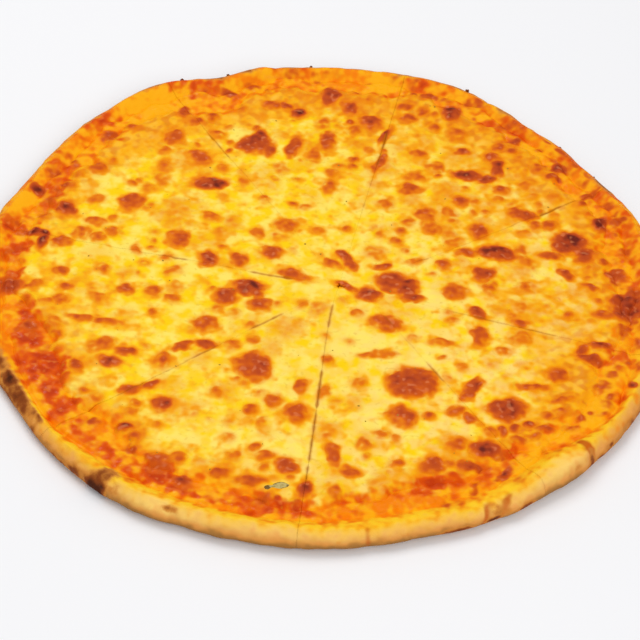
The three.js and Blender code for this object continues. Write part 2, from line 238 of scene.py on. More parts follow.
# Spots on the pizza: middle x and y, width along X, depth along Y, how much from 0 to 1, and a turn where
# there is one. First the blisters of browned cheese and how dark each is.
blisters = [
    # front right
    (42, -58, 19, 18.5, 0.82), (39, -77.5, 11, 10, 0.8), (30, -24, 14, 10, 0.65), (54, -34, 12, 5, 0.45),
    (27, -43, 15, 5, 0.45, 8), (19, -61, 7, 7, 0.4), (5, -66, 6, 9, 0.5), (67, -60, 6, 14, 0.85, -35),
    (60, -73, 9, 7, 0.65), (67, -78, 8, 5, 0.6, -30), (61, -92, 8, 8, 0.6), (74, -94, 12, 9, 1.0),
    (75, -84, 7, 6, 0.5), (68, -104, 12, 6, 0.8, 5), (80.5, -106.5, 12, 4.5, 0.8, 45),
    (50, -105, 10, 9, 0.75, 20), (36, -104, 7, 5, 0.5), (22, -95, 6, 7, 0.45), (10, -102, 6, 14, 0.6, 20),
    (18, -111, 8, 5, 0.75), (8, -91, 5, 5, 0.35), (85, -81, 5, 5, 0.8), (87, -88, 7, 5, 0.7),
    (91, -79, 5, 4, 0.85), (98, -81, 7, 5, 0.65), (105, -71, 6, 5, 0.65), (80.5, -83, 4, 6, 0.8),
    (93, -86, 6, 4, 0.7, 20), (99, -73, 5, 4, 0.7),
    # right, below the right cut
    (82, -71, 15, 12, 0.95), (71, -28, 7, 12, 0.7), (81, -36, 7, 5, 0.5), (89, -28, 9, 9, 0.45),
    (93, -57, 13, 5, 0.7), (103, -49, 9, 7, 0.65), (122, -30.5, 11, 5, 0.95, -8), (115, -33, 5, 7, 0.85),
    (119, -38.5, 12, 4.5, 0.85, -10), (122.5, -53.4, 8, 8, 0.6), (108.8, -78.7, 9, 4, 0.55),
    (105.6, -63, 8, 4, 0.6, 15), (135, -52, 7, 4, 0.85, -35), (75, 2, 8, 9, 0.5), (60, -2, 9, 8, 0.6),
    (70, -14, 8, 4, 0.75, -25), (88, -19, 7, 5, 0.7), (91, 4, 9, 6, 0.4), (136, -6, 17, 18, 1.0),
    (126, -12, 11, 6, 0.6), (132, 14, 10, 13, 0.8, -20), (138, 2, 8, 10, 0.85),
    (120.5, 5.3, 9, 4.5, 0.65, -10),
    # centre
    (33, 2, 15, 12, 0.85, -10), (39, -1, 10, 12, 1.0, -40), (41, -7, 10, 6, 0.9, -20),
    (23, -7, 10, 7, 0.95, -15), (13, -2, 10, 4, 0.7, -25), (12, 15, 6, 13, 0.85, 30),
    (5, 12, 9, 4, 0.7, -30), (-12, 4, 14, 7, 0.65, -15), (-21, 17, 10, 7, 0.7),
    (-39.5, -12.5, 10, 10, 0.92), (-31.5, -5.5, 13, 9, 1.05, -5), (-26, -10, 5, 6, 0.7),
    (-25, -16, 9, 8, 0.7), (-29, 29, 6, 6, 0.5), (-16, 35, 11, 8, 0.5), (28, 12, 8, 4, 0.8, 15),
    (42, 16, 8, 4, 0.4, 15), (-36, 11, 9, 9, 0.7), (-49, 10, 9, 8, 0.95), (-64, 22, 9, 12, 0.65),
    (-68, 10, 8, 4, 0.4),
    # right, above the right cut
    (112, 34, 14, 12, 1.05, -20), (118, 26, 9, 9, 1.0), (108, 30, 10, 7, 0.9), (103, 45, 6, 7, 0.65),
    (125, 46.6, 8, 11, 1.15), (133, 49, 8, 6, 0.8), (79, 25, 17, 9, 1.0, -8), (66, 24, 9, 6, 0.7),
    (72, 12, 9, 8, 1.0), (102, 24, 10, 5, 0.75), (109, 14, 9, 5, 0.75, -25), (91, 51, 12, 9, 0.75, -10),
    (97, 44, 7, 6, 0.55), (71, 39, 7, 8, 0.85), (47, 47, 8, 11, 0.6, 30), (49, 39, 9, 9, 0.5),
    (62, 58, 7, 6, 0.8), (117, 60, 6, 6, 0.6), (136, 30, 8, 6, 0.6),
    # back right
    (109, 84, 9, 8, 0.95), (106, 77, 9, 5, 0.75), (83, 111, 7, 6, 0.65), (88, 101, 8, 6, 0.85, 30),
    (81, 96, 6, 5, 0.7), (102.5, 101, 6, 2.6, 0.7, -45), (109.9, 93, 8, 3, 0.9, -50),
    (115.8, 85.6, 5, 2.6, 0.75, -53), (121, 78.5, 6, 2.6, 0.75, -57), (86, 93.5, 7, 4, 0.65),
    (122, 67, 13, 2.6, 0.7, 34), (129, 60, 8, 4, 0.7, 10), (116, 74.5, 6, 5, 0.45), (117, 61, 6, 5, 0.5),
    (79, 81.5, 6, 9, 0.95), (77.5, 89, 7, 6, 0.7), (66, 76, 12, 6, 1.05, -5), (74.5, 74.5, 9, 5, 0.95, 25),
    (81, 67, 6, 6, 0.7), (58, 120, 11, 12, 1.0), (66, 128, 6, 6, 0.75), (60, 104, 9, 10, 0.45),
    (47, 131, 9, 6, 0.8), (36, 121.7, 7, 5, 0.7), (37, 113, 8, 6, 0.75), (43.6, 118, 6, 5, 0.6),
    (50, 108, 5, 5, 0.5), (43, 90, 9, 6, 0.6), (51, 80, 8, 8, 0.5), (39, 64, 9, 7, 0.75),
    (28, 53, 10, 8, 0.4), (27, 100, 4, 13, 0.75, -15), (25, 81, 5, 15, 0.7, -15), (64, 92, 8, 4, 0.7),
    # back
    (0, 126, 9, 14, 0.9), (10, 119, 7, 9, 0.8), (19, 109, 9, 10, 0.85), (0, 94, 7, 14, 0.7),
    (-5, 84, 6, 8, 0.6), (2, 63, 7, 7, 0.55), (-15, 89, 6, 14, 0.8, -15), (-14.5, 114, 7, 6, 1.15),
    (-20, 117.5, 6, 3.5, 0.85, -20), (-34, 88, 16, 10, 0.85), (-31.5, 93.5, 9, 9, 0.95),
    (-32.5, 91, 13, 11, 0.9), (-27.5, 86, 7, 7, 0.8), (-58, 77, 10, 9, 0.7), (-52, 60, 14, 7, 1.05),
    (-55, 107, 6, 6, 0.6), (-48, 125, 10, 5, 0.8, -15), (-37, 130, 8, 6, 0.6), (-27, 117, 8, 6, 0.7),
    (-72, 91, 8, 9, 0.75), (-63, 103, 7, 5, 0.6), (12, 103, 6, 6, 0.6), (-37, 62, 5, 5, 0.4),
    # left, above the left cut
    (-101, 88, 8, 8, 0.75), (-87, 45, 10, 11, 0.8), (-105, 66, 8, 7, 0.6), (-115, 68, 6, 8, 0.6),
    (-103, 45, 8, 6, 0.5), (-94, 25, 7, 6, 0.5), (-102, 31, 8, 5, 0.5), (-130, 49.4, 6, 7, 1.05),
    (-115.4, 38, 8, 9, 1.0), (-127, 20, 9, 5, 1.15, -20), (-124, 14, 5, 8, 1.1), (-132, 21, 8, 5, 0.7),
    (-124.6, 32, 6, 6, 0.55), (-123.6, 42, 6, 6, 0.6), (-122, 48, 5, 5, 0.6), (-135, 26.6, 7, 5, 0.5),
    (-115, 16, 10, 6, 0.6, 30), (-113.8, -2.7, 7, 6, 0.7), (-96, 0, 6, 5, 0.5), (-92, 96, 7, 4, 0.6),
    (-124, 62, 7, 7, 0.6), (-117, 52, 8, 5, 0.65),
    # left, below the left cut
    (-135, -13, 12, 12, 0.9), (-84, -12, 7, 6, 0.7), (-72, -12, 7, 6, 0.55), (-96, -18, 8, 6, 0.4),
    (-110, -12.5, 6, 3.5, 0.8), (-91, -46, 11, 7, 0.5), (-100, -60, 6, 7, 0.65), (-87, -56, 8, 6, 0.9),
    (-81, -50, 8, 4, 0.8), (-101, -31, 12, 5, 0.55), (-90, -33, 11, 4, 0.6), (-48, -30, 9, 9, 0.6),
    (-57, -44, 10, 4, 0.7, 30), (-47, -42, 9, 5, 0.85), (-64, -54, 9, 9, 0.6), (-76, -71, 10, 5, 0.75, 30),
    (-112, -20, 6, 5, 0.6), (-123, -35.8, 8, 8, 0.75), (-126.7, -22.6, 6, 6, 0.55), (-118, -22, 7, 4, 0.5),
    (-36, -42, 7, 6, 0.45), (-27, -38, 5, 5, 0.45),
    # front left
    (-26, -54, 15.5, 15.5, 0.78), (-6, -79, 11, 9, 0.7, 30), (-16, -73, 7, 7, 0.6), (-5, -63, 5, 9, 0.6),
    (-40, -70, 6, 6, 0.45), (-62, -79, 8, 8, 0.95), (-77, -93, 7, 6, 0.95), (-68, -67, 8, 4, 0.8, 30),
    (-72, -98, 5, 5, 0.7), (-8, -109, 9, 7, 0.75), (-61, -111, 12, 10, 0.75), (-54, -108, 7, 7, 0.6),
    (-50, -121, 9, 7, 0.85), (-36, -115, 7, 6, 0.75), (-24, -118, 12, 5, 0.7), (-18, -128.5, 8, 6, 0.65),
    (-1, -121, 6, 9, 1.0), (-17, -104, 8, 6, 0.5), (-25, -79, 6, 6, 0.6), (-89, -90, 7, 6, 0.6),
    (-34, -95, 5, 5, 0.35), (-75, -84, 5, 5, 0.4),
]
# Where tomato shows through.
redPatches = [
    (-122, 68, 14, 8, 0.6, 55), (-122, 46, 14, 22, 0.8), (-138, 24, 12, 9, 0.9), (-135, 10, 12, 14, 0.85),
    (-134, -11, 12, 15, 0.9), (-125, -18, 16, 8, 0.6), (-123, -40, 12, 28, 1.0, 10),
    (-114, -60, 19, 17, 1.0), (-110, -74, 10, 17, 0.9, 20), (-104, -85, 13, 11, 0.9, 40),
    (-94, -97, 22, 8, 0.7, -44), (-83, -108, 16, 8, 0.8, -38), (-72, -114, 14, 5, 0.7, -33),
    (-61, -115, 17, 14, 1.0, -28), (-51, -122, 13, 7, 0.9, -22), (-44, -126, 13, 6, 0.7, -20),
    (-31, -130.5, 24, 5, 0.8, -13), (-20, -128, 14, 7, 0.6), (-8, -131, 20, 9, 0.9, -4),
    (-2, -124, 9, 8, 0.8), (20, -121, 28, 9, 0.6, 6), (50, -115, 28, 9, 0.75, 20),
    (75, -106, 12, 8, 0.5, 35), (87, -83, 13, 14, 0.85, 40), (97, -80, 14, 9, 0.8, 42),
    (82, -94, 14, 8, 0.75, 38), (108, -76, 9, 4, 0.6, 30), (122, -53, 8, 8, 0.5, 20),
    (130, -36, 14, 12, 0.7), (137, 33, 8, 22, 0.5), (140, 14, 8, 16, 0.5), (134, 47, 8, 16, 0.4),
    (128, 66, 12, 13, 0.55, -60), (114, 89, 24, 12, 0.5, -48), (86, 108, 28, 16, 0.6, -38),
    (40, 138, 24, 7, 0.45, -15), (-22, 140, 24, 6, 0.5), (-62, 126, 20, 11, 0.7, 25),
    (-73, 129, 14, 6, 0.7, 30), (-106, 99, 16, 11, 0.65, 45), (-90, 93, 24, 8, 0.35, 35),
]
# Where orange oil stands.
oilPools = [
    (-96, -103, 30, 12, 0.8, -45), (-39, 138, 34, 13, 0.7, 10), (10, 140, 20, 10, 0.6),
    (-133, -37, 8, 28, 0.7, 12), (97, 101, 13, 9, 0.9, -45), (41, -125, 30, 9, 1.0, 14),
    (112, 70, 10, 14, 0.5, -40), (141, -24, 8, 14, 0.7, -15), (-29, -131, 18, 8, 0.6),
    (95, -84, 30, 10, 0.5, 42), (128, -10, 20, 30, 0.3),
]
# Where clear golden oil stands on the rim's inner side.
goldenPools = [
    (-82, 111, 36, 19, 1.0, 35), (-135, 40, 11, 11, 1.0), (26, 139, 15, 13, 1.0),
    (98, 96, 13, 11, 0.9, -45), (113, -55, 22, 20, 1.0, 25), (112, -74, 20, 9, 0.5, 35),
    (92, -98, 24, 12, 0.8, 42), (-30, 139, 20, 8, 0.5), (78, 126, 16, 6, 0.8, -35),
    (132, 78, 10, 6, 0.5, -60),
]
# Cheese that stayed pale.
palePatches = [
    (17, -36, 26, 16, 0.9), (48, -8, 18, 12, 0.7), (-104, -74, 16, 10, 1.0, -20), (-60, 2, 24, 14, 0.5),
    (27, 88, 10, 34, 0.8, -15), (-92, 14, 26, 12, 0.6), (78, 14, 24, 10, 0.5), (45, -44, 26, 12, 0.7, 20),
    (85, 66, 18, 12, 0.7, -20), (-18, -60, 16, 22, 0.6), (60, -50, 18, 12, 0.6), (-100, 58, 24, 14, 0.6),
    (-44, 96, 20, 10, 0.6, -30), (26, 28, 30, 10, 0.5, 10), (-28, -98, 40, 12, 0.6), (95, 14, 22, 10, 0.4),
    (28, -82, 16, 20, 0.7), (104, 60, 16, 12, 0.6),
]

# Families of smaller blisters, strewn by seed: how many, seed, first and last heading, smallest and largest,
# how much the small ones prevail, mm kept clear, lightest and darkest, how likely away from the back and
# right, where they lie densest, and whether they lie on the ring and the rim.
families = [
    (165, 11, -180, 180, 3.4, 8.5, 1.5, -0.4, 0.16, 0.52, 0.36, False),
    (210, 23, -180, 180, 6.0, 16.0, 1.4, -99, 0.05, 0.22, 0.36, False),
    (34, 37, -180, 180, 3.0, 7.0, 1.5, -0.8, 0.4, 0.75, 0.05, False),
    (44, 53, -20, 80, 3.0, 8.5, 1.3, -1.5, 0.2, 0.7, 1, True),
    (16, 59, 148, 204, 3.0, 7.5, 1.3, -1.0, 0.2, 0.65, 1, True),
    (12, 61, 80, 118, 3.0, 6.5, 1.3, -1.0, 0.2, 0.6, 1, True),
    (16, 67, -66, -20, 3.0, 6.5, 1.3, -1.0, 0.3, 0.7, 1, True),
]
strewn = {
    "gather": 0.45, "inside": 1, "overRing": 6, "onRim": 5, "slim": 0.6, "stout": 1.5, "turn": 60,
    "more": 0.9, "back": 1.5, "from": 40, "full": 200,
}
blister = {
    "rise": 0.35, "risePerWide": 0.04, "dent": 0.25, "dentFrom": 7, "moat": 0.16, "halo": 3.2, "warp": 1.9,
    "warpFrom": 9, "soft": 2.9, "softLeast": 0.9, "softPerWide": 0.18, "body": 0.80, "core": 0.24,
    "coreWide": 0.85,
}
field = {"cell": 0.4, "half": 156}
fieldLine = np.linspace(-field["half"], field["half"], int(2 * field["half"] / field["cell"]) + 1)


def turnedSpots(table):
    # a spot without a turn lies straight
    return [(*spot, 0)[:6] for spot in table]


def insideSpot(px, py, x, y, wide, deep, turn):
    # along and across a spot, each 1 at its edge
    c, s = math.cos(math.radians(turn)), math.sin(math.radians(turn))
    return ((px - x) * c + (py - y) * s) / (wide / 2), (-(px - x) * s + (py - y) * c) / (deep / 2)


def strewBlisters():
    # smaller blisters at seeded places, closer together towards the rim
    taken = [(x, y, max(wide, deep)) for x, y, wide, deep, dark, turn in turnedSpots(blisters)]
    added = []
    for count, seed, start, end, small, large, power, clear, light, dark, even, onRing in families:
        draw = random.Random(seed)
        wanted = len(added) + count
        while len(added) < wanted:
            size = small + (large - small) * draw.random() ** power
            angle = draw.uniform(start, end)
            radius = float(cheeseEdgeAt(angle) - strewn["inside"]) * draw.random() ** strewn["gather"]
            if onRing:
                inner = float(cheeseEdgeAt(angle)) - strewn["overRing"]
                radius = draw.uniform(inner, float(outlineAt(angle)) - strewn["onRim"])
            x, y = pointAt(angle, radius)
            tone = draw.uniform(light, dark)
            shape = draw.uniform(strewn["slim"], strewn["stout"])
            turn = draw.uniform(-strewn["turn"], strewn["turn"])
            dense = smooth(x + strewn["back"] * y, strewn["from"], strewn["full"])
            if draw.random() > even + strewn["more"] * dense:
                continue
            if all(math.hypot(x - a, y - b) > 0.5 * (size + wide) + clear for a, b, wide in taken):
                taken.append((x, y, size))
                added.append((x, y, size, size * shape, tone, turn))
    return added


def browningFields():
    # stamps every blister into three fields over the pizza: how brown, how near a blister, how raised
    brown, halo, rise = (np.zeros((len(fieldLine), len(fieldLine))) for _ in range(3))
    for x, y, wide, deep, dark, turn in [*turnedSpots(blisters), *strewBlisters()]:
        narrow = min(wide, deep)
        reach = 0.5 * max(wide, deep) * 1.5 + 2.3 * blister["halo"]
        i0, i1 = np.searchsorted(fieldLine, (x - reach, x + reach))
        j0, j1 = np.searchsorted(fieldLine, (y - reach, y + reach))
        px, py = np.meshgrid(fieldLine[i0:i1], fieldLine[j0:j1], indexing="ij")
        strength = blister["warp"] * min(1.0, max(wide, deep) / blister["warpFrom"])
        wx = px + strength * layered(0, px, py, "blisterX")
        wy = py + strength * layered(0, px, py, "blisterY")
        along, across = insideSpot(wx, wy, x, y, wide, deep, turn)
        off = np.hypot(along, across)
        edge = (off - 1) * 0.25 * (wide + deep)  # mm outside the blister's own edge
        lean = math.radians(90 + 80 * math.sin(x * 37 + y * 91))  # the side whose core is darker, always in the half towards the back
        aside = np.hypot(along - 0.5 * math.cos(lean), across - 0.5 * math.sin(lean))
        core = blister["body"] + blister["core"] * hill(aside, blister["coreWide"])
        soft = min(blister["soft"], blister["softLeast"] + blister["softPerWide"] * narrow)
        soft = soft * (1 + 0.5 * max(0, 1 - dark))
        spot = 0.5 * smooth(edge, 1.4 * soft, -0.6 * soft) + 0.5 * smooth(edge, 0.7 * soft, -1.2 * soft)
        spot = dark * spot * layered(core, px, py, "core")
        glow = dark ** 0.7 * hill(np.maximum(edge, 0), blister["halo"])
        high = (blister["rise"] + blister["risePerWide"] * narrow) * min(1, 0.1 + 2 * dark)
        dome = high * np.sqrt(np.clip(1 - off**2, 0, 1))
        dome = dome * (1 - blister["dent"] * (narrow > blister["dentFrom"]) * hill(off, 0.5))
        dome = dome - blister["moat"] * min(1, 2 * dark) * hill(edge - 0.9, 0.7)
        window = (slice(i0, i1), slice(j0, j1))
        brown[window] = np.maximum(brown[window], spot)
        halo[window] = np.maximum(halo[window], glow)
        rise[window] = np.where(np.abs(dome) > np.abs(rise[window]), dome, rise[window])
    return {"brown": brown, "halo": halo, "rise": rise}


def patchField(patches):
    # ragged soft patches over the same cells
    px, py = np.meshgrid(fieldLine, fieldLine, indexing="ij")
    wx, wy = layered(px, px, py, "patchX"), layered(py, px, py, "patchY")
    total = np.zeros_like(px)
    for x, y, wide, deep, amount, turn in turnedSpots(patches):
        off = np.hypot(*insideSpot(wx, wy, x, y, wide, deep, turn))
        total = np.maximum(total, amount * smooth(off, 1.7, 0.3))
    return total


fields = browningFields()
patches = {"red": redPatches, "oil": oilPools, "golden": goldenPools, "pale": palePatches}
fields.update({name: patchField(table) for name, table in patches.items()})
print("browning laid out,", len(blisters), "large blisters")


def readField(name, x, y):
    values = fields[name]
    gx = np.clip((x + field["half"]) / field["cell"], 0, len(fieldLine) - 1.001)
    gy = np.clip((y + field["half"]) / field["cell"], 0, len(fieldLine) - 1.001)
    ix, iy = gx.astype(int), gy.astype(int)
    fx, fy = gx - ix, gy - iy
    near = values[ix, iy] * (1 - fx) + values[ix + 1, iy] * fx
    far = values[ix, iy + 1] * (1 - fx) + values[ix + 1, iy + 1] * fx
    return near * (1 - fy) + far * fy


def readFields(x, y, *more):
    return {name: readField(name, x, y) for name in ("brown", "red", "oil", "golden", *more)}


def meshOf(name, bm, soft=True):
    for face in bm.faces:
        face.smooth = soft
    mesh = bpy.data.meshes.new(name)
    bm.to_mesh(mesh)
    bm.free()
    return mesh


def addPiece(name, mesh, slot, materials, *nodes):
    for material in materials:
        mesh.materials.append(material)
    piece = bpy.data.objects.new(name, mesh)
    bpy.context.scene.collection.objects.link(piece)
    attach(piece, "root")
    if nodes:
        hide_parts(*nodes)


closeBy = 1e-5  # in the grid, before its points are placed


def fillCutFace(bm, reach, side, column, under, tips, stem):
    # fills the face along one cut in pieces, each between two ties from the underside to the top
    rows = len(reach)
    chain, spots = {}, {}
    for e in bm.edges:
        onCut = e.is_boundary and e not in stem
        if onCut and all(abs(v.co.x - side) < closeBy or v in tips for v in e.verts):
            levels = [round((v.co.y + 0.5) * (rows - 1)) for v in e.verts]
            chain[min(levels)] = e
            spots.update(zip(levels, e.verts))
    tie, low, top = stem, 0, rows - 1
    for row in range(1, under):
        above = under + int(np.argmin(np.abs(reach[under:, column] - reach[row, column])))
        if above < top:
            made = bmesh.ops.contextual_create(bm, geom=[spots[row], spots[above]])["edges"]
            loop = [chain[r] for r in (*range(low, row), *range(above, top))]
            bmesh.ops.contextual_create(bm, geom=[*loop, *tie, *made], mat_nr=1)
            tie, low, top = made, row, above
    bmesh.ops.contextual_create(bm, geom=[*(chain[r] for r in range(low, top)), *tie], mat_nr=1)


def sliceMesh(name, x, y, z, under, traits):
    # rolls a grid round a slice: columns run from cut to cut, rows from the tip's underside, out, and back in
    # over the top to the tip
    rows, cols = x.shape
    reach = np.hypot(x - pizza["cutX"], y - pizza["cutY"])
    bm = bmesh.new()
    bmesh.ops.create_grid(bm, x_segments=cols - 1, y_segments=rows - 1, size=0.5)
    tips = []
    for level in (-0.5, 0.5):
        line = [v for v in bm.verts if abs(v.co.y - level) < closeBy]
        bmesh.ops.pointmerge(bm, verts=line, merge_co=(-0.5, level, 0))
        tips.append(min(bm.verts, key=lambda v: (v.co - Vector((-0.5, level, 0))).length))
    stem = bmesh.ops.contextual_create(bm, geom=tips)["edges"]
    for side, column in ((-0.5, 0), (0.5, cols - 1)):
        fillCutFace(bm, reach, side, column, under, tips, stem)
    mesh = meshOf(name, bm)
    flat = np.empty(len(mesh.vertices) * 3, np.float32)
    mesh.vertices.foreach_get("co", flat)
    spot = flat.reshape(-1, 3)
    col = np.rint((spot[:, 0] + 0.5) * (cols - 1)).astype(int)
    row = np.rint((spot[:, 1] + 0.5) * (rows - 1)).astype(int)
    placed = np.stack([a[row, col] for a in (x, y, z)], axis=1) * mm
    mesh.vertices.foreach_set("co", placed.astype(np.float32).ravel())
    for trait, values in traits.items():
        layer = mesh.attributes.new(trait, "FLOAT", "POINT")
        layer.data.foreach_set("value", values[row, col].astype(np.float32))
    bm = bmesh.new()
    bm.from_mesh(mesh)
    bmesh.ops.recalc_face_normals(bm, faces=bm.faces[:])
    for face in bm.faces:
        face.smooth = face.material_index == 0
    for edge in bm.edges:
        edge.smooth = all(face.smooth for face in edge.link_faces)
    bm.to_mesh(mesh)
    bm.free()
    mesh.update()
    return mesh


class Wire:  # one shader value: + - * on it make Math nodes
    def __init__(self, finish, socket):
        self.finish = finish
        self.socket = socket

    def math(self, operation, first, second):
        return self.finish.node("ShaderNodeMath", {"operation": operation}, first, second)

    def __add__(self, other):
        return self.math("ADD", self, other)

    def __sub__(self, other):
        return self.math("SUBTRACT", self, other)

    def __rsub__(self, other):
        return self.math("SUBTRACT", other, self)

    def __mul__(self, other):
        return self.math("MULTIPLY", self, other)

    __radd__ = __add__
    __rmul__ = __mul__

    def top(self, other):
        return self.math("MAXIMUM", self, other)

    def step(self, start, end):  # 0 before start, 1 after end, smooth between
        kind = {"interpolation_type": "SMOOTHSTEP"}
        return self.finish.node("ShaderNodeMapRange", kind, self, start, end, 0.0, 1.0)


# Noise that breaks up the colours and the skin: mm between its features, detail, shift, roughness.
grains = {
    "broad": (9.0, 1, 0, 0.5), "cloud": (5.0, 1, 19, 0.5), "fine": (2.8, 0, 31, 0.5),
    "blots": (3.0, 0, 91, 0.5), "paintedHighlight": (2.3, 0, 207, 0.5), "blobs": (4.0, 0, 119, 0.5),
    "paintedGlintSpots": (2.4, 0, 83, 0.5), "wet": (1.8, 0, 207, 0.5), "mottle": (4.2, 1, 63, 0.5),
    "blush": (5.5, 1, 11, 0.5), "baked": (3.8, 0, 47, 0.5), "specks": (2.0, 0, 140, 0.5),
    "cheeseGrain": (0.9, 2, 57, 0.6), "crustGrain": (0.8, 2, 71, 0.6), "burntGrain": (0.8, 2, 0, 0.6),
    "pores": (1.3, 3, 0, 0.6), "veins": (1.3, 1, 9, 0.5),
}


class Finish:  # one material, written from its nodes
    def __init__(self, name, **constants):
        self.material = bpy.data.materials.new(name)
        self.material.use_nodes = True
        self.tree = self.material.node_tree
        self.shader = self.tree.nodes["Principled BSDF"]
        self.finish(**constants)
        spot = self.node("ShaderNodeTexCoord", {}, output="Object")
        self.place = self.node("ShaderNodeVectorMath", {"operation": "SCALE"}, spot, Scale=1 / mm)

    def plug(self, socket, value):
        if isinstance(value, Wire):
            self.tree.links.new(value.socket, socket)
        else:
            socket.default_value = value

    def node(self, kind, settings, *inputs, output=0, at=None, **named):
        made = self.tree.nodes.new(kind)
        for key, value in settings.items():
            setattr(made, key, value)
        for key, value in [*zip(at or range(len(inputs)), inputs), *named.items()]:
            self.plug(made.inputs[key], value)
        return Wire(self, made.outputs[output])

    def traits(self, *names):
        return [self.node("ShaderNodeAttribute", {"attribute_name": name}, output="Fac") for name in names]

    def noise(self, name):
        # from 0 to 1
        size, detail, shift, rough = grains[name]
        aside = (shift, shift * 0.7, shift * 0.3)
        place = self.node("ShaderNodeVectorMath", {"operation": "ADD"}, self.place, aside)
        settings = {"Scale": 1 / size, "Detail": detail, "Roughness": rough}
        return self.node("ShaderNodeTexNoise", {}, Vector=place, **settings)

    def blend(self, factor, first, second):
        colours = {"data_type": "RGBA"}  # sockets 0, 6 and 7 hold its factor and the two colours
        return self.node("ShaderNodeMix", colours, factor, first, second, at=(0, 6, 7), output=2)

    def bump(self, height, distance):
        # height in mm
        return self.node("ShaderNodeBump", {}, Strength=1.0, Distance=distance * mm, Height=height)

    def finish(self, **values):
        for key, value in values.items():
            self.plug(self.shader.inputs[key.replace("_", " ")], value)
        return self.material


ringLook = {
    "gold": srgb(254, 176, 12), "oil": srgb(248, 130, 0), "tomato": srgb(226, 84, 0),
    "deep": srgb(196, 58, 6), "paintedGlint": srgb(248, 140, 60),
}
# browned cheese colours; the last is the colour of a painted highlight
brownLook = {
    "orange": srgb(240, 134, 2), "red": srgb(217, 94, 12), "brown": srgb(180, 66, 24),
    "char": srgb(108, 32, 20), "paintedHighlight": srgb(236, 138, 84),
}


def ringColour(f, broad, fine):
    # the orange and red of sauce and oil, which also soaks the cheese's edge and the rim, with pale spots of
    # painted highlight on the red
    look = ringLook
    red, oil, golden = f.traits("red", "oil", "golden")
    mottle = broad * 0.5 + fine * 0.5
    cloud = f.noise("cloud")
    tone = mottle + oil * 0.25 - golden * 0.5 + (cloud - 0.5) * 1.8
    base = f.blend(tone.step(0.16, 0.88), look["gold"], look["oil"])
    tint = red * 1.15 - oil * 0.35 - golden * 0.8
    tint = tint + ((f.noise("blobs") - 0.5) * 1.5 + (cloud - 0.5) * 1.3) * (1 - oil * 0.6)
    colour = f.blend(tint.step(0.0, 0.85), base, look["tomato"])
    colour = f.blend(tint.step(0.65, 1.45), colour, look["deep"])
    # pale spots of painted highlight on the red sauce
    return f.blend(f.noise("paintedGlintSpots").step(0.52, 0.85) * red * 0.55, colour, look["paintedGlint"])


def browned(f, colour, brown, fine, dry):
    # a blister's colours, from its orange edge to its dark core, mottled, with soft pinkish spots of painted
    # highlight whose mask it also returns
    look = brownLook
    ragged = brown.step(0.12, 0.40) * (1 - brown.step(0.45, 0.80) * 0.8)
    worn = brown + (fine - 0.5) * 0.6 * ragged + (f.noise("blots") - 0.5) * 0.55 * brown.step(0.2, 0.8)
    colour = f.blend(worn.step(-0.02, 0.36) * dry, colour, look["orange"])
    for start, end, name in ((0.14, 0.66, "red"), (0.40, 0.98, "brown"), (0.84, 1.22, "char")):
        colour = f.blend(worn.step(start, end), colour, look[name])
    # soft spots of painted highlight on the browner parts
    paintedHighlight = f.noise("paintedHighlight").step(0.58, 0.82) * brown.step(0.35, 0.7)
    return f.blend(paintedHighlight * 0.38, colour, look["paintedHighlight"]), paintedHighlight


cheeseLook = {
    "rows": 210, "cols": 150, "crowd": 1.25, "bunch": 0.05, "sink": 0.9, "sinkOver": 3.5, "tipGap": 0.3,
    "shut": 0.015, "open": 0.02, "round": 1.6, "dip": 0.03, "dipOpen": 0.25, "dipOver": 1.4,
    "lipOver": 1.5, "grooveOver": 0.8, "soakOver": 9, "underRows": 25, "underTo": 0.96, "underLast": 0.985,
    "cream": srgb(255, 229, 100), "yellow": srgb(255, 210, 0), "blush": srgb(255, 214, 122),
    "gold": srgb(252, 176, 8), "baked": srgb(252, 180, 42), "speck": srgb(208, 158, 30),
    # groove is the colour of painted shade along the open cuts
    "groove": srgb(184, 102, 2),
}


